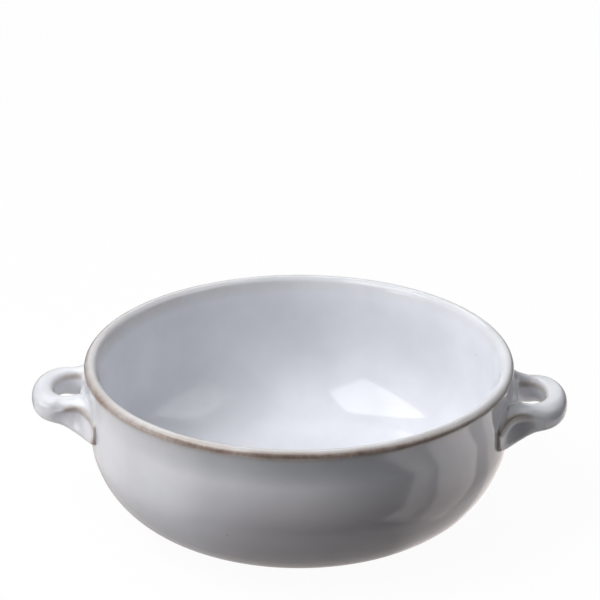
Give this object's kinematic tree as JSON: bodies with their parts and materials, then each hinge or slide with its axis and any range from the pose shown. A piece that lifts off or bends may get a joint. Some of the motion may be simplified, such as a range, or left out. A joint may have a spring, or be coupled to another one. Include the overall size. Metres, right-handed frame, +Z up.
{
  "type": "soup crock",
  "caption": "Round glazed stoneware soup crock with a rounded lip, a low foot ring and a looped lug handle luted to each side of the wall.",
  "frame": {"origin": "middle of the resting surface under the foot ring", "axes": "+Z up along the bowl's axis, +X through the right handle, -Y towards the front"},
  "size_m": [0.188, 0.15, 0.0575],
  "materials": {
    "glazed_stoneware": "glossy bluish white glaze over stoneware, breaking tan brown on the lip and the handles' edges",
    "fired_slip": "fired clay slip between a handle's root and the wall, sealed under the glaze"
  },
  "bodies": {
    "root": {"bowl_body": "glazed_stoneware", "left_handle": "glazed_stoneware", "right_handle": "glazed_stoneware", "left_luting_seam": "fired_slip", "right_luting_seam": "fired_slip"}
  },
  "joints": []
}
